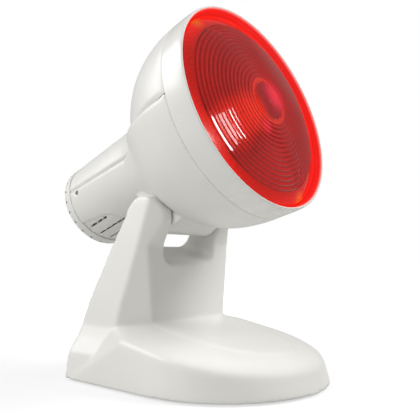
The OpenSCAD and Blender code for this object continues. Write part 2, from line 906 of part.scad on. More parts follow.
base_shell();
fork_cover();
bottom_plate();
ballast();
feet();
base_screws();
cover_screws();
cord_gland();
terminal_block();
friction_washers();
spring_washers();
pivot_bolts();
pivot_nuts();
head_lower();
head_upper();
front_collar();
heat_shield();
neck_cap();
neck_screws();
holder_bracket();
holder_screws();
holder_body();
holder_shell();
holder_contact();
thermal_fuse();
bulb_lens();
bulb_reflector();
bulb_cap();
bulb_insulator();
bulb_contact();
bulb_filament();
bulb_supports();
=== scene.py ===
"""Looks of the infrared heat therapy lamp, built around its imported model.

The head, the bulb and the stand are dressed in moulded plastic, pressed red
glass and the metals inside them. Everything is in metres, in the model's frame:
X across the lamp, Y towards its back, Z up, the tilt axis above the origin.
"""
import logging
import math
from collections.abc import Callable
from dataclasses import dataclass, field
from enum import Enum

import bmesh
import bpy
from mathutils import Euler, Matrix, Vector


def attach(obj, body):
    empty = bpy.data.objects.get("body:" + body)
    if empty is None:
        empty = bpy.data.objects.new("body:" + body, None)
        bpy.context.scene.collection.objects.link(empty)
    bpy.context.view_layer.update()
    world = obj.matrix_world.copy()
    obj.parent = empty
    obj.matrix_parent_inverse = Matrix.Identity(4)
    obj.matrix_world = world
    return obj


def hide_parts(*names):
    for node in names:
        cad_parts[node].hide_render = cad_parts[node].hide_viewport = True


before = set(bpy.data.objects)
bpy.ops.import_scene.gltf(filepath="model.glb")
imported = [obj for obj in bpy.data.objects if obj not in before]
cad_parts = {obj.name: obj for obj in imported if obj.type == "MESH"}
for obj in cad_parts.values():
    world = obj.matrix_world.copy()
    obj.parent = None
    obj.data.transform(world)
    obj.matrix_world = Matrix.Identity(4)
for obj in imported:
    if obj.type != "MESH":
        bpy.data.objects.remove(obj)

MM = 0.001
OPENING_MM = (0.0, -58.8, 158.5)
TILT_DEG = 16.6
SMOOTH_DEG = 35.0
BODY_AIM = (0.0, 0.0, 0.11)
GLASS_AIM = (-0.04, -0.07, 0.14)
WHITE = (1.0, 1.0, 1.0, 1.0)
LOG = logging.getLogger("heat_lamp")
Colour = tuple[float, float, float, float]
Point = tuple[float, float, float]


# ---------------------------------------------------------------- small tools

def srgb(code: str) -> Colour:
    """Turn an sRGB hex colour into linear RGBA.

    Args:
        code: Colour as "#RRGGBB".

    Returns:
        The colour as four linear values.
    """
    values = [int(code[i:i + 2], 16) / 255 for i in (1, 3, 5)]
    linear = [v / 12.92 if v <= 0.04045 else ((v + 0.055) / 1.055) ** 2.4 for v in values]
    return (*linear, 1.0)


def add_node(tree: bpy.types.NodeTree, kind: str, links: dict | None = None,
             **settings: object) -> bpy.types.Node:
    """Add a node, set its values and link its inputs.

    Args:
        tree: Node tree that takes the node.
        kind: Type name of the node, such as "ShaderNodeMath".
        links: Input name or number to the output socket that feeds it.
        **settings: Node attributes, or "in_" and an input's name or number for its value.

    Returns:
        The new node.
    """
    made = tree.nodes.new(kind)
    for key, value in settings.items():
        if key.startswith("in_"):
            name = key.removeprefix("in_").replace("_", " ")
            made.inputs[int(name) if name.isdigit() else name].default_value = value
        else:
            setattr(made, key, value)
    for key, socket in (links or {}).items():
        tree.links.new(socket, made.inputs[key])
    return made


def set_ramp(ramp: bpy.types.Node, stops: list[tuple[float, Colour]]) -> None:
    """Set the stops of a Color Ramp node.

    Args:
        ramp: The node.
        stops: Position and colour of each stop, in order.
    """
    elements = ramp.color_ramp.elements
    while len(elements) < len(stops):
        elements.new(0.5)
    for element, (place, colour) in zip(elements, stops):
        element.position = place
        element.color = colour


def new_object(mesh_name: str, bm: bmesh.types.BMesh) -> bpy.types.Object:
    """Turn a bmesh into an object in the scene, with its sharp edges marked.

    Args:
        mesh_name: Name of the piece.
        bm: The shape, which is freed here.

    Returns:
        The new object.
    """
    bmesh.ops.remove_doubles(bm, verts=bm.verts, dist=1e-6)
    bmesh.ops.recalc_face_normals(bm, faces=bm.faces)
    for face in bm.faces:
        face.smooth = True
    for edge in bm.edges:
        if len(edge.link_faces) == 2:
            edge.smooth = edge.calc_face_angle(0.0) < math.radians(SMOOTH_DEG)
    mesh = bpy.data.meshes.new(mesh_name)
    bm.to_mesh(mesh)
    bm.free()
    made = bpy.data.objects.new(mesh_name, mesh)
    bpy.context.scene.collection.objects.link(made)
    return made


# ------------------------------------------------------------------- finishes

@dataclass(frozen=True)
class Finish:
    """A surface finish; subclasses fill in the node tree."""

    label: str
    rough: float = 0.4
    metal: float = 0.0

    def build(self) -> bpy.types.Material:
        """Make the material, unless it was made earlier.

        Returns:
            The material.
        """
        known = bpy.data.materials.get(self.label)
        if known:
            return known
        material = bpy.data.materials.new(self.label)
        material.use_nodes = True
        tree = material.node_tree
        tree.nodes.clear()
        shader = add_node(tree, "ShaderNodeBsdfPrincipled", in_Metallic=self.metal,
                          in_Roughness=self.rough)
        add_node(tree, "ShaderNodeOutputMaterial", {"Surface": shader.outputs[0]})
        place = add_node(tree, "ShaderNodeTexCoord").outputs["Object"]
        self.dress(tree, shader, place)
        return material

    def dress(self, tree: bpy.types.NodeTree, shader: bpy.types.Node,
              place: bpy.types.NodeSocket) -> None:
        """Fill the tree in; each finish has its own way.

        Args:
            tree: Material's node tree.
            shader: Its principled shader.
            place: Object coordinates in metres.
        """
        raise NotImplementedError

    def grain(self, tree: bpy.types.NodeTree, shader: bpy.types.Node, place: bpy.types.NodeSocket,
              size_mm: float, depth_mm: float) -> bpy.types.Node:
        """Give the surface a fine bump.

        Args:
            tree: Material's node tree.
            shader: Principled shader that takes the normal.
            place: Coordinates in metres.
            size_mm: Size of one grain.
            depth_mm: Height of the grain.

        Returns:
            The noise node, for other uses.
        """
        noise = add_node(tree, "ShaderNodeTexNoise", {"Vector": place},
                         in_Scale=1 / (size_mm * MM), in_Detail=2.0)
        bump = add_node(tree, "ShaderNodeBump", {"Height": noise.outputs["Fac"]},
                        in_Strength=0.35, in_Distance=depth_mm * MM)
        tree.links.new(bump.outputs[0], shader.inputs["Normal"])
        return noise


@dataclass(frozen=True)
class MouldedPlastic(Finish):
    """Injection-moulded ABS: an even satin skin with a barely uneven gloss."""

    colour: str = "#E9E8E4"
    shade: str = "#E2E1DC"
    # Coarser than a real spark-eroded grain, so that it shows.
    grain_mm: float = 0.9
    grain_depth_mm: float = 0.012
    mottles_per_m: float = 38.0
    coat: float = 0.15
    coat_rough: float = 0.22

    def dress(self, tree: bpy.types.NodeTree, shader: bpy.types.Node,
              place: bpy.types.NodeSocket) -> None:
        """Two close tints, a broad gloss change and a spark-eroded grain.

        Args:
            tree: Material's node tree.
            shader: Its principled shader.
            place: Object coordinates in metres.
        """
        broad = add_node(tree, "ShaderNodeTexNoise", {"Vector": place},
                         in_Scale=self.mottles_per_m, in_Detail=3.0)
        tint = add_node(tree, "ShaderNodeMix", {"Factor": broad.outputs["Fac"]}, data_type="RGBA",
                        in_6=srgb(self.colour), in_7=srgb(self.shade))
        tree.links.new(tint.outputs[2], shader.inputs["Base Color"])
        gloss = add_node(tree, "ShaderNodeMapRange", {"Value": broad.outputs["Fac"]},
                         in_3=self.rough - 0.04, in_4=self.rough + 0.05)
        tree.links.new(gloss.outputs[0], shader.inputs["Roughness"])
        shader.inputs["Coat Weight"].default_value = self.coat
        shader.inputs["Coat Roughness"].default_value = self.coat_rough
        self.grain(tree, shader, place, self.grain_mm, self.grain_depth_mm)


@dataclass(frozen=True)
class MouldedRubber(Finish):
    """Moulded rubber: dull, near black, with fine dust in its pores."""

    colour: str = "#26272A"
    dust: str = "#4A4B4D"
    pore_mm: float = 0.5
    pore_depth_mm: float = 0.03

    def dress(self, tree: bpy.types.NodeTree, shader: bpy.types.Node,
              place: bpy.types.NodeSocket) -> None:
        """A speckle of paler dust over the dark base.

        Args:
            tree: Material's node tree.
            shader: Its principled shader.
            place: Object coordinates in metres.
        """
        speck = self.grain(tree, shader, place, self.pore_mm, self.pore_depth_mm)
        ramp = add_node(tree, "ShaderNodeValToRGB", {"Fac": speck.outputs["Fac"]})
        set_ramp(ramp, [(0.35, srgb(self.colour)), (0.8, srgb(self.dust))])
        tree.links.new(ramp.outputs[0], shader.inputs["Base Color"])


@dataclass(frozen=True)
class WorkedMetal(Finish):
    """Metal with tooling marks that run around or along one axis."""

    colour: str = "#B9BBBD"
    dark: str = "#8E9194"
    # Wider apart than real tooling marks, so that they show.
    pitch_mm: float = 0.6
    mark_depth_mm: float = 0.01
    stretch: Point = (1.0, 1.0, 0.06)

    def dress(self, tree: bpy.types.NodeTree, shader: bpy.types.Node,
              place: bpy.types.NodeSocket) -> None:
        """Streaks of two tones, which also shift the gloss.

        Args:
            tree: Material's node tree.
            shader: Its principled shader.
            place: Object coordinates in metres.
        """
        scaled = add_node(tree, "ShaderNodeMapping", {"Vector": place}, in_Scale=self.stretch)
        streak = add_node(tree, "ShaderNodeTexNoise", {"Vector": scaled.outputs[0]},
                          in_Scale=1 / (self.pitch_mm * MM), in_Detail=3.0)
        tint = add_node(tree, "ShaderNodeMix", {"Factor": streak.outputs["Fac"]}, data_type="RGBA",
                        in_6=srgb(self.colour), in_7=srgb(self.dark))
        tree.links.new(tint.outputs[2], shader.inputs["Base Color"])
        gloss = add_node(tree, "ShaderNodeMapRange", {"Value": streak.outputs["Fac"]},
                         in_3=max(self.rough - 0.08, 0.03), in_4=self.rough + 0.1)
        tree.links.new(gloss.outputs[0], shader.inputs["Roughness"])
        bump = add_node(tree, "ShaderNodeBump", {"Height": streak.outputs["Fac"]},
                        in_Strength=0.2, in_Distance=self.mark_depth_mm * MM)
        tree.links.new(bump.outputs[0], shader.inputs["Normal"])


@dataclass(frozen=True)
class GlazedCeramic(Finish):
    """Glazed porcelain or fused black glass: glossy, with a few pin specks."""

    colour: str = "#F2F0EA"
    speck: str = "#D8D2C4"
    speck_mm: float = 2.2
    wave_mm: float = 3.0
    wave_depth_mm: float = 0.02
    coat: float = 0.6
    coat_rough: float = 0.06

    def dress(self, tree: bpy.types.NodeTree, shader: bpy.types.Node,
              place: bpy.types.NodeSocket) -> None:
        """Sparse specks under a clear coat.

        Args:
            tree: Material's node tree.
            shader: Its principled shader.
            place: Object coordinates in metres.
        """
        cells = add_node(tree, "ShaderNodeTexVoronoi", {"Vector": place},
                         in_Scale=1 / (self.speck_mm * MM))
        ramp = add_node(tree, "ShaderNodeValToRGB", {"Fac": cells.outputs["Distance"]})
        set_ramp(ramp, [(0.06, srgb(self.speck)), (0.14, srgb(self.colour))])
        tree.links.new(ramp.outputs[0], shader.inputs["Base Color"])
        shader.inputs["Coat Weight"].default_value = self.coat
        shader.inputs["Coat Roughness"].default_value = self.coat_rough
        self.grain(tree, shader, place, self.wave_mm, self.wave_depth_mm)


@dataclass(frozen=True)
class Glow:
    """A soft patch of light on the front glass, placed on the lens plane in millimetres."""

    at: tuple[float, float]
    core: float
    reach: float
    colour: str
    gain: float = 1.0


@dataclass(frozen=True)
class LensPlane:
    """Polar coordinates about the lamp axis, in the plane of the front opening."""

    centre: Point = tuple(length * MM for length in OPENING_MM)
    tilt_deg: float = TILT_DEG

    def flat(self, tree: bpy.types.NodeTree, place: bpy.types.NodeSocket) -> bpy.types.NodeSocket:
        """Coordinates across the opening: X to the side, Y up its slope.

        Args:
            tree: Material's node tree.
            place: Object coordinates in metres.

        Returns:
            The coordinates in metres, with Z at 0.
        """
        moved = add_node(tree, "ShaderNodeVectorMath", {0: place}, operation="SUBTRACT",
                         in_1=self.centre)
        turned = add_node(tree, "ShaderNodeMapping", {"Vector": moved.outputs[0]},
                          vector_type="POINT",
                          in_Rotation=(math.radians(self.tilt_deg - 90), 0.0, 0.0))
        across = add_node(tree, "ShaderNodeVectorMath", {0: turned.outputs[0]},
                          operation="MULTIPLY", in_1=(1.0, 1.0, 0.0))
        return across.outputs[0]

    def radius(self, tree: bpy.types.NodeTree,
               across: bpy.types.NodeSocket) -> bpy.types.NodeSocket:
        """Distance from the lamp axis in metres."""
        length = add_node(tree, "ShaderNodeVectorMath", {0: across}, operation="LENGTH")
        return length.outputs["Value"]

    def patch(self, tree: bpy.types.NodeTree, across: bpy.types.NodeSocket,
              glow: Glow) -> bpy.types.NodeSocket:
        """How strongly one soft patch shows, from 0 to 1."""
        off = add_node(tree, "ShaderNodeVectorMath", {0: across}, operation="DISTANCE",
                       in_1=(glow.at[0] * MM, glow.at[1] * MM, 0.0))
        return add_node(tree, "ShaderNodeMapRange", {"Value": off.outputs["Value"]},
                        interpolation_type="SMOOTHSTEP", in_1=glow.core * MM, in_2=glow.reach * MM,
                        in_3=glow.gain, in_4=0.0).outputs[0]


@dataclass(frozen=True)
class LitRedGlass(Finish):
    """Pressed red glass with the lamp alight behind it.

    The plain outer band burns bright, the ringed dome is a deep red whose
    valleys are painted darker still, as painted shade, and the lamp's own fire
    shows through in a fan beside the button. Two orange glints on the band's
    edge and a grey-pink sheen at the upper right are painted highlights.
    """

    plane: LensPlane = LensPlane()
    rim_mm: float = 60.3
    band_mm: float = 52.5
    button_mm: float = 12.5
    rings: int = 15
    strength: float = 0.93
    ior: float = 1.36
    coat: float = 0.15
    coat_rough: float = 0.03
    wave_mm: float = 4.0
    wave_depth_mm: float = 0.02
    ripple_mm: float = 0.07
    calm_mm: float = 22.0
    lively_mm: float = 32.0
    calm: float = 0.3
    stipple_mm: float = 1.3
    fire_and_painted_highlights: tuple[Glow, ...] = (
        Glow((-19.0, -10.0), 3.0, 17.0, "#F42C12"),
        Glow((-33.0, -18.0), 4.0, 19.0, "#EE2410"),
        Glow((-46.0, -25.0), 4.0, 15.0, "#E01E0E"),
        Glow((8.0, 5.0), 2.0, 14.0, "#E8203C"),
        Glow((-8.0, -17.5), 1.0, 6.0, "#F0283A"),
        Glow((-57.0, 14.0), 8.0, 30.0, "#A8160E", 0.8),
        Glow((-22.0, -54.0), 6.0, 22.0, "#B01A0C", 0.6),
        # Painted highlights: orange glints on the band's outer edge.
        Glow((-38.0, 46.5), 0.5, 7.5, "#E0640E", 0.85),
        Glow((22.0, -55.5), 0.5, 7.5, "#E86414", 0.8),
        Glow((0.0, -40.0), 6.0, 26.0, "#B81410", 0.7),
        # Painted reflection: a grey-pink sheen at the upper right.
        Glow((40.0, 34.0), 12.0, 36.0, "#8A4240", 0.7),
    )

    def fire(self, tree: bpy.types.NodeTree, across: bpy.types.NodeSocket,
             share: bpy.types.NodeSocket) -> bpy.types.NodeSocket:
        """Colour of the light that comes through, by place, with painted glints and a painted sheen
        laid over it.

        Args:
            tree: Material's node tree.
            across: Coordinates across the opening, in metres.
            share: Distance from the lamp axis as a share of the rim's.

        Returns:
            The colour.
        """
        ramp = add_node(tree, "ShaderNodeValToRGB", {"Fac": share})
        inner = self.button_mm / self.rim_mm
        outer = self.band_mm / self.rim_mm
        # The dark stop just inside the band's edge is painted shade in the groove between band and
        # dome.
        stops = [(0.0, "#8E1420"), (inner * 0.9, "#861418"), (inner * 1.04, "#E8301C"),
                 (inner * 1.3, "#A81410"), (0.6, "#94100E"), (outer * 0.985, "#A01410"),
                 (outer * 0.995, "#4E0604"), (outer * 1.012, "#B8180E"), (0.945, "#E41A10"),
                 (1.0, "#F01E12")]
        set_ramp(ramp, [(stop, srgb(code)) for stop, code in stops])
        colour = ramp.outputs[0]
        for glow in self.fire_and_painted_highlights:
            shows = self.plane.patch(tree, across, glow)
            mixed = add_node(tree, "ShaderNodeMix", {"Factor": shows, 6: colour},
                             data_type="RGBA", in_7=srgb(glow.colour))
            colour = mixed.outputs[2]
        return colour

    def ripples(self, tree: bpy.types.NodeTree, shader: bpy.types.Node,
                radius: bpy.types.NodeSocket, saw: bpy.types.NodeSocket,
                ringed: bpy.types.NodeSocket) -> None:
        """Break reflections up along the pressed rings, less so near the button.

        Args:
            tree: Material's node tree.
            shader: Principled shader, whose normal already comes from a bump.
            radius: Distance from the lamp axis in metres.
            saw: Place across one ring, from 0 to 1.
            ringed: 1 where there are rings, 0 elsewhere.
        """
        wave = add_node(tree, "ShaderNodeMath", {0: saw}, operation="PINGPONG", in_1=0.5)
        fade = add_node(tree, "ShaderNodeMapRange", {"Value": radius}, in_1=self.calm_mm * MM,
                        in_2=self.lively_mm * MM, in_3=self.calm, in_4=1.0)
        held = add_node(tree, "ShaderNodeMath", {0: ringed, 1: fade.outputs[0]},
                        operation="MULTIPLY")
        swell = add_node(tree, "ShaderNodeMath", {0: wave.outputs[0], 1: held.outputs[0]},
                         operation="MULTIPLY")
        ripple = add_node(tree, "ShaderNodeBump", {"Height": swell.outputs[0]}, in_Strength=1.0,
                          in_Distance=2 * self.ripple_mm * MM)
        grain = shader.inputs["Normal"].links[0].from_node
        tree.links.new(ripple.outputs[0], grain.inputs["Normal"])

    def dress(self, tree: bpy.types.NodeTree, shader: bpy.types.Node,
              place: bpy.types.NodeSocket) -> None:
        """Work the place on the lens out and colour by it.

        Args:
            tree: Material's node tree.
            shader: Its principled shader.
            place: Object coordinates in metres.
        """
        across = self.plane.flat(tree, place)
        radius = self.plane.radius(tree, across)
        share = add_node(tree, "ShaderNodeMath", {0: radius}, operation="DIVIDE",
                         in_1=self.rim_mm * MM).outputs[0]
        pitch = (self.band_mm - self.button_mm) * MM / self.rings
        phase = add_node(tree, "ShaderNodeMath", {0: radius}, operation="SUBTRACT",
                         in_1=self.button_mm * MM)
        turns = add_node(tree, "ShaderNodeMath", {0: phase.outputs[0]}, operation="DIVIDE",
                         in_1=pitch)
        saw = add_node(tree, "ShaderNodeMath", {0: turns.outputs[0]}, operation="FRACT")
        # Painted shade: the rings' valleys are darkened, in the glow and in the base colour.
        valley_shade = add_node(tree, "ShaderNodeValToRGB", {"Fac": saw.outputs[0]})
        set_ramp(valley_shade, [(0.0, (0.5, 0.42, 0.42, 1)), (0.2, (0.9, 0.9, 0.9, 1)), (0.5, WHITE),
                          (0.8, (0.85, 0.85, 0.85, 1)), (1.0, (0.5, 0.42, 0.42, 1))])
        inside = add_node(tree, "ShaderNodeMath", {0: radius}, operation="LESS_THAN",
                          in_1=self.band_mm * MM)
        beyond = add_node(tree, "ShaderNodeMath", {0: radius}, operation="GREATER_THAN",
                          in_1=self.button_mm * MM)
        ringed = add_node(tree, "ShaderNodeMath", {0: inside.outputs[0], 1: beyond.outputs[0]},
                          operation="MULTIPLY")
        ring_valley_shade = add_node(tree, "ShaderNodeMix", {"Factor": ringed.outputs[0], 7: valley_shade.outputs[0]},
                         data_type="RGBA", in_6=WHITE)
        stipple = add_node(tree, "ShaderNodeTexVoronoi", {"Vector": place},
                           in_Scale=1 / (self.stipple_mm * MM))
        spots = add_node(tree, "ShaderNodeMapRange", {"Value": stipple.outputs["Distance"]},
                         in_3=1.15, in_4=0.75)
        fire = self.fire(tree, across, share)
        lit = add_node(tree, "ShaderNodeMix", {6: fire, 7: ring_valley_shade.outputs[2]},
                       data_type="RGBA", blend_type="MULTIPLY", in_0=1.0)
        bright = add_node(tree, "ShaderNodeVectorMath", {0: lit.outputs[2], 3: spots.outputs[0]},
                          operation="SCALE")
        tree.links.new(bright.outputs[0], shader.inputs["Emission Color"])
        deep = add_node(tree, "ShaderNodeMix", {6: ring_valley_shade.outputs[2]}, data_type="RGBA",
                        blend_type="MULTIPLY", in_0=1.0, in_7=srgb("#5A0806"))
        tree.links.new(deep.outputs[2], shader.inputs["Base Color"])
        shader.inputs["Emission Strength"].default_value = self.strength
        shader.inputs["IOR"].default_value = self.ior
        shader.inputs["Coat Weight"].default_value = self.coat
        shader.inputs["Coat Roughness"].default_value = self.coat_rough
        self.grain(tree, shader, place, self.wave_mm, self.wave_depth_mm)
        self.ripples(tree, shader, radius, saw.outputs[0], ringed.outputs[0])


@dataclass(frozen=True)
class RedPaintedLightCollar(MouldedPlastic):
    """The collar's polished plastic, whose inner wall has the bulb's red light painted on it."""

    plane: LensPlane = LensPlane()
    bore_mm: float = 62.0
    lip_mm: float = 62.9
    strength: float = 0.85

    def dress(self, tree: bpy.types.NodeTree, shader: bpy.types.Node,
              place: bpy.types.NodeSocket) -> None:
        """The plastic's own dressing, with a painted red glow inside the bore.

        Args:
            tree: Material's node tree.
            shader: Its principled shader.
            place: Object coordinates in metres.
        """
        super().dress(tree, shader, place)
        radius = self.plane.radius(tree, self.plane.flat(tree, place))
        lit = add_node(tree, "ShaderNodeMapRange", {"Value": radius}, in_1=self.bore_mm * MM,
                       in_2=self.lip_mm * MM, in_3=1.0, in_4=0.0).outputs[0]
        # Painted light: the bulb's red light on the bore, as emission.
        glow = add_node(tree, "ShaderNodeValToRGB", {"Fac": lit})
        set_ramp(glow, [(0.0, (0, 0, 0, 1)), (0.45, srgb("#E8584C")), (0.8, srgb("#E42420")),
                        (1.0, srgb("#E0201C"))])
        tree.links.new(glow.outputs[0], shader.inputs["Emission Color"])
        shader.inputs["Emission Strength"].default_value = self.strength
        # Painted light: the base colour is tinted red in the bore too.
        under = shader.inputs["Base Color"].links[0].from_socket
        painted_red_light_base = add_node(tree, "ShaderNodeMix", {"Factor": lit, 6: under}, data_type="RGBA",
                           in_7=srgb("#A01410"))
        tree.links.new(painted_red_light_base.outputs[2], shader.inputs["Base Color"])


@dataclass(frozen=True)
class ClearGlass(Finish):
    """Drawn clear glass, faintly wavy."""

    colour: str = "#EEF1F2"
    shade: str = "#DDE4E6"
    wave_mm: float = 6.0
    wave_depth_mm: float = 0.06
    clear: float = 0.9
    ior: float = 1.5

    def dress(self, tree: bpy.types.NodeTree, shader: bpy.types.Node,
              place: bpy.types.NodeSocket) -> None:
        """Transmission with a slow ripple.

        Args:
            tree: Material's node tree.
            shader: Its principled shader.
            place: Object coordinates in metres.
        """
        wave = self.grain(tree, shader, place, self.wave_mm, self.wave_depth_mm)
        tint = add_node(tree, "ShaderNodeMix", {"Factor": wave.outputs["Fac"]}, data_type="RGBA",
                        in_6=srgb(self.colour), in_7=srgb(self.shade))
        tree.links.new(tint.outputs[2], shader.inputs["Base Color"])
        shader.inputs["Transmission Weight"].default_value = self.clear
        shader.inputs["IOR"].default_value = self.ior


class Surface(Enum):
    """The lamp's finishes, by what they are."""

    # Soft broad highlights on warm white, as on a satin moulding.
    SHELL = MouldedPlastic("white_abs_satin_moulded", rough=0.34)
    # A shade glossier than the shells, so that the cap reads as a part of its own.
    CAP = MouldedPlastic("white_abs_polished_cap", rough=0.3, colour="#EAE9E5", shade="#E4E3DE",
                         coat=0.2)
    # Crisp white ring whose inner wall has the bulb's red light painted on it as a glow.
    COLLAR = RedPaintedLightCollar("white_abs_collar_painted_red_light_inside", rough=0.26, colour="#EAE9E5",
                          shade="#E4E3DE", coat=0.3)
    # Deep red rings with painted shade in their valleys, a burning fan, painted orange glints and a
    # painted grey-pink sheen, and sharp striped reflections.
    GLASS = LitRedGlass("red_glass_pressed_lit", rough=0.055)
    # Duller and slightly greyer than the shells.
    COVER = MouldedPlastic("white_pp_fine_texture", rough=0.46, colour="#E4E3DF",
                           shade="#DCDBD6", grain_mm=0.6)
    # Dark matt underside.
    PLATE = MouldedPlastic("dark_pp_textured_plate", rough=0.6, colour="#4A4D4F",
                           shade="#3F4244", grain_mm=0.8, coat=0.0)
    # Cream block with no shine.
    TERMINAL = MouldedPlastic("cream_pa_terminal", rough=0.5, colour="#E9E6DA",
                              shade="#DDD9CB", coat=0.0)
    # Near black and dusty.
    RUBBER = MouldedRubber("black_rubber_moulded", rough=0.8)
    # Rough dark metal with an even mottle.
    BALLAST = WorkedMetal("cast_iron_ballast", rough=0.6, metal=0.8, colour="#5A5D60",
                          dark="#3C3E40", pitch_mm=1.8, stretch=(1.0, 1.0, 1.0))
    # Cool grey metal with turning marks.
    ZINC = WorkedMetal("zinc_plated_steel_turned", rough=0.3, metal=1.0)
    # Bright bowl that mirrors softly.
    ALUMINIUM = WorkedMetal("aluminium_spun_bright", rough=0.16, metal=1.0, colour="#D4D6D8",
                            dark="#B4B7BA", pitch_mm=0.8)
    # Warm yellow metal, streaked by drawing.
    BRASS = WorkedMetal("brass_drawn_bright", rough=0.22, metal=1.0, colour="#C9A24E",
                        dark="#A37F38")
    # Smooth silver skin seen through glass.
    SILVERED = WorkedMetal("glass_silvered_inside", rough=0.12, metal=1.0, colour="#C9CCCE",
                           dark="#A9ACAF", pitch_mm=3.0)
    # Fine dark wire.
    TUNGSTEN = WorkedMetal("tungsten_wire_drawn", rough=0.35, metal=1.0, colour="#7F8286",
                           dark="#5C5F63", pitch_mm=0.4)
    # White glaze with a wet shine and pin specks.
    PORCELAIN = GlazedCeramic("porcelain_white_glazed", rough=0.12)
    # Glossy black insulator.
    VITRITE = GlazedCeramic("black_glass_fused", rough=0.1, colour="#17171A", speck="#2A2A2E")
    # Clear stem that bends what is behind it.
    STEM = ClearGlass("clear_glass_drawn", rough=0.04)


# ------------------------------------------------------------ sub-assemblies

@dataclass
class Fittings:
    """The pieces that keep their own mesh, each with its finish."""

    finishes: dict[str, Surface] = field(default_factory=lambda: {
        "fork_cover": Surface.COVER, "bottom_plate": Surface.PLATE,
        "ballast": Surface.BALLAST, "feet": Surface.RUBBER,
        "base_screws": Surface.ZINC, "cover_screws": Surface.ZINC,
        "cord_gland": Surface.COVER, "terminal_block": Surface.TERMINAL,
        "friction_washers": Surface.RUBBER, "spring_washers": Surface.ZINC,
        "pivot_bolts": Surface.ZINC, "pivot_nuts": Surface.ZINC,
        "heat_shield": Surface.ALUMINIUM, "neck_cap": Surface.CAP,
        "neck_screws": Surface.ZINC, "holder_bracket": Surface.ZINC,
        "holder_screws": Surface.ZINC, "holder_body": Surface.PORCELAIN,
        "holder_shell": Surface.BRASS, "holder_contact": Surface.BRASS,
        "thermal_fuse": Surface.ZINC, "bulb_reflector": Surface.SILVERED,
        "bulb_cap": Surface.BRASS, "bulb_insulator": Surface.VITRITE,
        "bulb_lens": Surface.GLASS, "bulb_contact": Surface.ZINC,
        "bulb_filament": Surface.TUNGSTEN, "bulb_supports": Surface.STEM,
    })

    def dress(self) -> None:
        """Put each finish on its node."""
        for name, surface in self.finishes.items():
            dress_object(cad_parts[name], surface.value)
            LOG.info("dressed %s with %s", name, surface.value.label)


def dress_object(piece: bpy.types.Object, finish: Finish) -> None:
    """Make a finish the only material of a piece.

    Args:
        piece: The piece.
        finish: Its finish.
    """
    material = finish.build()
    piece.data.materials.clear()
    piece.data.materials.append(material)


@dataclass
class SoftMoulding:
    """A moulding with the rounded edges and blended corners that its tool gave it.

    It is made from the node's own mesh: an even skin is laid over it, which is
    then relaxed until its sharp corners have the real ones' radius.
    """

    node: str
    body: str
    finish: Finish
    skin_mm: float = 1.05
    passes: int = 12
    keep: float = 0.5
    reshape: Callable[[Vector], Vector] | None = None
    filler: bmesh.types.BMesh | None = None
    cutter: bmesh.types.BMesh | None = None

    def build(self) -> None:
        """Make the softened piece in place of its node."""
        bm = bmesh.new()
        bm.from_mesh(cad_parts[self.node].data)
        bmesh.ops.remove_doubles(bm, verts=bm.verts, dist=1e-6)
        if self.filler:
            plugs = bpy.data.meshes.new(self.node + "_filler")
            self.filler.to_mesh(plugs)
            bm.from_mesh(plugs)
            bpy.data.meshes.remove(plugs)
        piece = new_object(self.node + "_soft", bm)
        skin = piece.modifiers.new("skin", "REMESH")
        skin.mode = "VOXEL"
        skin.voxel_size = self.skin_mm * MM
        skin.use_smooth_shade = True
        relax = piece.modifiers.new("relax", "SMOOTH")
        relax.factor = self.keep
        relax.iterations = self.passes
        freeze(piece)
        if self.reshape:
            for vert in piece.data.vertices:
                vert.co = self.reshape(vert.co)
        if self.cutter:
            self.cut(piece)
        dress_object(piece, self.finish)
        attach(piece, self.body)
        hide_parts(self.node)
        LOG.info("softened %s: %d faces", self.node, len(piece.data.polygons))

    def cut(self, piece: bpy.types.Object) -> None:
        """Cut the crisp openings, which the skin can't hold.

        Args:
            piece: The softened piece.
        """
        tool = new_object(self.node + "_cutter", self.cutter)
        clean = piece.modifiers.new("cut", "BOOLEAN")
        clean.object = tool
        clean.operation = "DIFFERENCE"
        clean.solver = "EXACT"
        freeze(piece)
        bpy.data.objects.remove(tool)


def freeze(piece: bpy.types.Object) -> None:
    """Apply every modifier of a piece to its mesh.

    Args:
        piece: The piece.
    """
    graph = bpy.context.evaluated_depsgraph_get()
    mesh = bpy.data.meshes.new_from_object(piece.evaluated_get(graph))
    piece.modifiers.clear()
    piece.data = mesh
    mesh.name = piece.name


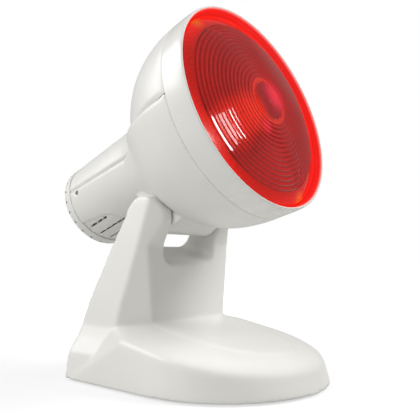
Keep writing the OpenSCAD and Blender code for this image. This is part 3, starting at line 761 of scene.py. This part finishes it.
@dataclass
class HeadShells:
    """The head's outer mouldings: the two bell-shaped halves and the front collar.

    Lengths are in millimetres, as depths behind the front opening and radii
    about the lamp axis; the neck droops a little from that axis. `upper` and
    `collar_profile` list depth and radius, and `lip_steps` turns the front
    edge of `upper` in. `vents` lists the angle of each vent slot from the
    underside, in degrees, and its length.
    """

    opening: Point = OPENING_MM
    tilt_deg: float = TILT_DEG
    droop_deg: float = 4.07
    neck_start: float = 72.0
    lead: float = 14.0
    seam: float = 13.0
    end: float = 146.5
    wall: float = 2.3
    upper: tuple = ((13, 64), (34, 63.6), (50, 56), (62, 43.6), (69, 36.3), (78, 30.2),
                    (92, 29.8))
    lip_steps: tuple = ((-1.0, 0.0, -0.1), (-0.25, 0.0, -0.1), (0.0, 0.0, -0.6))
    curve_steps: int = 16
    neck_steps: int = 12
    spin_steps: int = 180
    shoulder_h: float = 3.4
    shoulder_in: float = 1.5
    groove_h: float = 1.5
    groove_in: float = 1.3
    groove_most: float = 1.15
    fade_start: float = 1.0
    fade_length: float = 6.0
    vents: tuple = ((9.5, 27.0), (26.0, 26.0), (42.5, 16.0))
    vent_start: float = 4.0
    vent_corners: int = 16
    collar_profile: tuple = (
        (0, 62), (-1.4, 62.5), (-1.8, 63.1), (-1.3, 63.7), (0.6, 64.1), (6, 64.2), (13, 64),
        (13, 61.1), (18, 61.1), (18, 59.2), (14.4, 59.2), (12, 61.6))
    collar_steps: int = 240

    def place(self) -> Matrix:
        """Matrix from the head's own millimetres, with +Z out of the opening, to metres."""
        lean = Matrix.Rotation(math.radians(90 - self.tilt_deg), 4, "X")
        return Matrix.Translation(Vector(self.opening) * MM) @ lean @ Matrix.Scale(MM, 4)

    def outline(self) -> list[Vector]:
        """Follow the upper half's outer face with two cubic curves and the straight neck.

        Returns:
            Points in the head's XZ plane, from the seam to the neck's end.
        """
        points = []
        for first in (0, 3):
            a, b, c, d = (Vector((p[1], 0.0, -p[0])) for p in self.upper[first:first + 4])
            for i in range(1 if first else 0, self.curve_steps + 1):
                t = i / self.curve_steps
                u = 1 - t
                points.append(u ** 3 * a + 3 * u ** 2 * t * b + 3 * u * t * t * c + t ** 3 * d)
        last = self.upper[-1]
        for i in range(1, self.neck_steps + 1):
            depth = last[0] + (self.end - last[0]) * i / self.neck_steps
            points.append(Vector((last[1], 0.0, -depth)))
        return points

    def bend(self, bm: bmesh.types.BMesh) -> None:
        """Let everything behind the neck's start droop, and sink the split's groove.

        Args:
            bm: The upper half's outer face, in the head's own frame.
        """
        for vert in bm.verts:
            vert.co.y -= self.drop(-vert.co.z)
            share = min(max(1 - vert.co.y / self.groove_h, 0.0), self.groove_most)
            vert.co = self.pull_in(vert.co, self.groove_in * share * self.behind_seam(vert.co))

    def behind_seam(self, point: Vector) -> float:
        """0 where the halves meet the collar, rising to 1 a little way behind it."""
        past = -point.z - self.seam - self.fade_start
        return min(max(past / self.fade_length, 0.0), 1.0)

    def drop(self, depth: float) -> float:
        """How far the middle of the head hangs below the lamp axis.

        Args:
            depth: Depth behind the front opening.

        Returns:
            The drop at that depth.
        """
        past = depth - (self.neck_start - self.lead / 2)
        if past <= 0:
            return 0.0
        eased = past * past / (2 * self.lead) if past < self.lead else past - self.lead / 2
        return eased * math.tan(math.radians(self.droop_deg))

    def pull_in(self, point: Vector, by: float) -> Vector:
        """Move a point of the head's own frame towards the middle of the head."""
        out = Vector((point.x, point.y + self.drop(-point.z), 0.0))
        return point - out.normalized() * by if by > 0 else point

    def shoulder(self, point: Vector) -> Vector:
        """Round the lower half's edge along the split.

        Args:
            point: A point of the lower half, in metres.

        Returns:
            Where the point goes.
        """
        place = self.place()
        own = place.inverted() @ point
        left = min(max(1 + own.y / self.shoulder_h, 0.0), 1.0)
        if left == 0.0:
            return point
        inward = self.shoulder_in * (1 - math.sqrt(1 - left * left)) * self.behind_seam(own)
        return place @ self.pull_in(own, inward)

    def slots(self, half_width: float, outer: float, inner: float) -> bmesh.types.BMesh:
        """Closed prisms along the vent slots under the neck.

        Args:
            half_width: Half of the prisms' width.
            outer: Radius at which they start.
            inner: Radius at which they end.

        Returns:
            The prisms.
        """
        bm = bmesh.new()
        neck = (self.place() @ Matrix.Translation((0, 0, -self.neck_start))
                @ Matrix.Rotation(math.radians(-self.droop_deg), 4, "X"))
        back = self.neck_start - self.end + self.vent_start
        corners = range(self.vent_corners)
        turns = [math.tau * k / self.vent_corners for k in corners]
        for angle, length in self.vents:
            shape = [(half_width * math.cos(a), back + half_width * math.sin(a)
                      + (length if 0 <= a <= math.pi else 0.0)) for a in turns]
            for side in (-1, 1):
                turn = neck @ Matrix.Rotation(math.radians(side * angle), 4, "Z")
                near, far = ([bm.verts.new(turn @ Vector((x, -r, z))) for x, z in shape]
                             for r in (inner, outer))
                bm.faces.new(near)
                bm.faces.new(far[::-1])
                for k in corners:
                    n = (k + 1) % self.vent_corners
                    bm.faces.new((near[k], far[k], far[n], near[n]))
        bmesh.ops.recalc_face_normals(bm, faces=bm.faces)
        return bm

    def collar(self) -> bpy.types.Object:
        """Spin the front collar, with its rolled lip and the spigot that closes the halves.

        Returns:
            The collar.
        """
        bm = bmesh.new()
        ring = [bm.verts.new((radius, 0, -depth)) for depth, radius in self.collar_profile]
        for a, b in zip(ring, ring[1:] + ring[:1]):
            bm.edges.new((a, b))
        bmesh.ops.spin(bm, geom=bm.verts[:] + bm.edges[:], axis=(0, 0, 1), cent=(0, 0, 0),
                       angle=math.tau, steps=self.collar_steps, use_merge=True)
        bmesh.ops.recalc_face_normals(bm, faces=bm.faces)
        bm.transform(self.place())
        piece = new_object("front_collar_ring", bm)
        round_edges(piece, width_mm=0.3, segments=3, over_deg=20)
        return piece

    def upper_half(self) -> bpy.types.Object:
        """Spin the upper half, give it its thickness and its rounded edges.

        Returns:
            The upper half.
        """
        bm = bmesh.new()
        points = self.outline()
        lip = [points[0] + Vector(step) for step in self.lip_steps]
        chain = [bm.verts.new(point) for point in lip + points[1:]]
        for a, b in zip(chain, chain[1:]):
            bm.edges.new((a, b))
        bmesh.ops.spin(bm, geom=bm.verts[:] + bm.edges[:], axis=(0, 0, 1), cent=(0, 0, 0),
                       angle=math.pi, steps=self.spin_steps)
        self.bend(bm)
        bmesh.ops.recalc_face_normals(bm, faces=bm.faces)
        outward = sum(face.normal.dot(face.calc_center_median() * Vector((1, 1, 0)))
                      for face in bm.faces)
        if outward < 0:
            bmesh.ops.reverse_faces(bm, faces=bm.faces)
        bmesh.ops.solidify(bm, geom=bm.faces, thickness=self.wall)
        bm.transform(self.place())
        piece = new_object("head_upper_shell", bm)
        round_edges(piece, width_mm=0.35, segments=2, over_deg=50)
        return piece

    def build_front(self) -> None:
        """Make the upper half and the collar in place of their nodes."""
        for node, piece, surface in (("head_upper", self.upper_half(), Surface.SHELL),
                                     ("front_collar", self.collar(), Surface.COLLAR)):
            dress_object(piece, surface.value)
            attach(piece, "head")
            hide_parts(node)
            LOG.info("built %s", piece.name)

    def build_lower(self) -> None:
        """Soften the lower half, round it along the split and recut its vent slots."""
        SoftMoulding("head_lower", "head", Surface.SHELL.value, skin_mm=0.82, passes=3,
                     reshape=self.shoulder,
                     filler=self.slots(half_width=1.4, outer=29.15, inner=27.95),
                     cutter=self.slots(half_width=0.9, outer=32.0, inner=25.0)).build()


def round_edges(piece: bpy.types.Object, width_mm: float, segments: int, over_deg: float) -> None:
    """Round a piece's sharp edges with a bevel.

    Args:
        piece: The piece.
        width_mm: Width of the bevel.
        segments: Faces across it.
        over_deg: Edges that turn more than this are rounded.
    """
    edge = piece.modifiers.new("edge", "BEVEL")
    edge.width = width_mm * MM
    edge.segments = segments
    edge.limit_method = "ANGLE"
    edge.angle_limit = math.radians(over_deg)


class LampPart(Enum):
    """What a soft box does: all of it, only light, or only a reflection in the glass."""

    BOTH = 1
    FILL = 2
    SPARK = 3


@dataclass(frozen=True)
class SoftBox:
    """One rectangular lamp.

    `at` and `size` are in metres and `power` is in watts; `roll_deg` turns the
    box about the direction that it faces.
    """

    name: str
    at: Point
    power: float
    size: tuple[float, float]
    aim: Point = BODY_AIM
    part: LampPart = LampPart.BOTH
    roll_deg: float = 0.0

    def glass_only(self) -> bpy.types.Collection:
        """Gather what a spark lights, which is the front glass alone.

        Returns:
            The collection that holds it.
        """
        only = bpy.data.collections.get("glass_only")
        if only is None:
            only = bpy.data.collections.new("glass_only")
            only.objects.link(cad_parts["bulb_lens"])
        return only

    def hang(self) -> None:
        """Put the lamp in the scene."""
        light = bpy.data.lights.new(self.name, "AREA")
        light.energy = self.power
        light.shape = "RECTANGLE"
        light.size, light.size_y = self.size
        box = bpy.data.objects.new(self.name, light)
        box.location = self.at
        box.visible_diffuse = self.part is not LampPart.SPARK
        box.visible_glossy = self.part is not LampPart.FILL
        if self.part is LampPart.SPARK:
            box.light_linking.receiver_collection = self.glass_only()
        facing = (Vector(self.aim) - Vector(self.at)).to_track_quat("-Z", "Y").to_matrix()
        roll = Matrix.Rotation(math.radians(self.roll_deg), 3, "Z")
        box.rotation_euler = (facing @ roll).to_euler()
        bpy.context.scene.collection.objects.link(box)


@dataclass
class Studio:
    """Pale floor, soft lights and the camera, in metres.

    The floor's own light rises from `near_light` at `near` to 1 at `far`, so
    that it turns white away from the lamp. `room_light` and `room_gloss` are
    the surroundings as a light and as a reflection.
    """

    eye: Point = (-0.25994, -0.24484, 0.07129)
    heading_deg: float = 49.38
    pitch_deg: float = 4.88
    lens_mm: float = 48.0
    paper: str = "#BCBCBB"
    shadow: str = "#949494"
    near: float = 0.14
    far: float = 0.5
    near_light: float = 0.68
    room_light: float = 0.28
    room_gloss: float = 0.27
    boxes: tuple[SoftBox, ...] = (
        SoftBox("left_box", (-0.6, 0.7, 0.75), 5.7, (0.7, 0.7)),
        SoftBox("side_box", (-0.95, -0.05, 0.45), 3.6, (0.5, 0.5), part=LampPart.FILL),
        SoftBox("right_box", (0.5, -0.5, 0.75), 8.0, (0.4, 0.4), part=LampPart.FILL),
        SoftBox("top_box", (0.0, 0.1, 1.1), 1.7, (0.8, 0.8), part=LampPart.FILL),
        SoftBox("ring_spark", (0.475, -0.52, 0.54), 0.8, (0.055, 0.11), GLASS_AIM,
                LampPart.SPARK),
        SoftBox("band_spark", (0.12, -0.72, 0.45), 1.1, (0.008, 0.4), GLASS_AIM,
                LampPart.SPARK, 25.4),
    )

    def floor(self) -> None:
        """A broad floor that stays white to the camera and keeps the lamp's shadow."""
        bm = bmesh.new()
        bmesh.ops.create_grid(bm, x_segments=8, y_segments=8, size=6.0)
        ground = new_object("floor", bm)
        material = bpy.data.materials.new("studio_floor_paper")
        material.use_nodes = True
        tree = material.node_tree
        tree.nodes.clear()
        paper = add_node(tree, "ShaderNodeBsdfDiffuse", in_Color=srgb(self.paper))
        faint = add_node(tree, "ShaderNodeBsdfDiffuse", in_Color=srgb(self.shadow))
        place = add_node(tree, "ShaderNodeTexCoord").outputs["Object"]
        away = add_node(tree, "ShaderNodeVectorMath", {0: place}, operation="LENGTH")
        level = add_node(tree, "ShaderNodeMapRange", {"Value": away.outputs["Value"]},
                         in_1=self.near, in_2=self.far, in_3=self.near_light, in_4=1.0)
        lift = add_node(tree, "ShaderNodeEmission", {"Strength": level.outputs[0]},
                        in_Color=WHITE)
        both = add_node(tree, "ShaderNodeAddShader", {0: faint.outputs[0], 1: lift.outputs[0]})
        path = add_node(tree, "ShaderNodeLightPath")
        split = add_node(tree, "ShaderNodeMixShader", {0: path.outputs["Is Camera Ray"],
                                                       1: paper.outputs[0], 2: both.outputs[0]})
        add_node(tree, "ShaderNodeOutputMaterial", {"Surface": split.outputs[0]})
        ground.data.materials.append(material)

    def world(self) -> None:
        """White to the camera and through glass, softer as a light and in reflections."""
        world = bpy.data.worlds.new("studio")
        bpy.context.scene.world = world
        world.use_nodes = True
        tree = world.node_tree
        tree.nodes.clear()
        path = add_node(tree, "ShaderNodeLightPath")
        seen = add_node(tree, "ShaderNodeMath", {0: path.outputs["Is Camera Ray"],
                                                 1: path.outputs["Is Transmission Ray"]},
                        operation="MAXIMUM")
        room = add_node(tree, "ShaderNodeMapRange", {"Value": path.outputs["Is Glossy Ray"]},
                        in_3=self.room_light, in_4=self.room_gloss)
        level = add_node(tree, "ShaderNodeMapRange",
                         {"Value": seen.outputs[0], 3: room.outputs[0]}, in_4=1.0)
        sky = add_node(tree, "ShaderNodeBackground", {"Strength": level.outputs[0]},
                       in_Color=WHITE)
        add_node(tree, "ShaderNodeOutputWorld", {"Surface": sky.outputs[0]})

    def camera(self) -> None:
        """Camera at the photograph's viewing angle."""
        data = bpy.data.cameras.new("camera")
        data.sensor_width = 36.0
        data.lens = self.lens_mm
        seat = bpy.data.objects.new("camera", data)
        seat.location = self.eye
        seat.rotation_euler = Euler((math.radians(90 + self.pitch_deg), 0.0,
                                     -math.radians(self.heading_deg)))
        bpy.context.scene.collection.objects.link(seat)
        bpy.context.scene.camera = seat

    def build(self) -> None:
        """Set the whole studio up."""
        self.floor()
        self.world()
        for box in self.boxes:
            box.hang()
        self.camera()
        bpy.context.scene.view_settings.view_transform = "Standard"


def main() -> None:
    """Build the lamp's looks in order."""
    logging.basicConfig(level=logging.INFO, format="%(name)s: %(message)s")
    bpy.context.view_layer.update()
    Studio().build()
    shells = HeadShells()
    shells.build_front()
    SoftMoulding("base_shell", "base", Surface.SHELL.value).build()
    shells.build_lower()
    Fittings().dress()


if __name__ == "__main__":
    main()
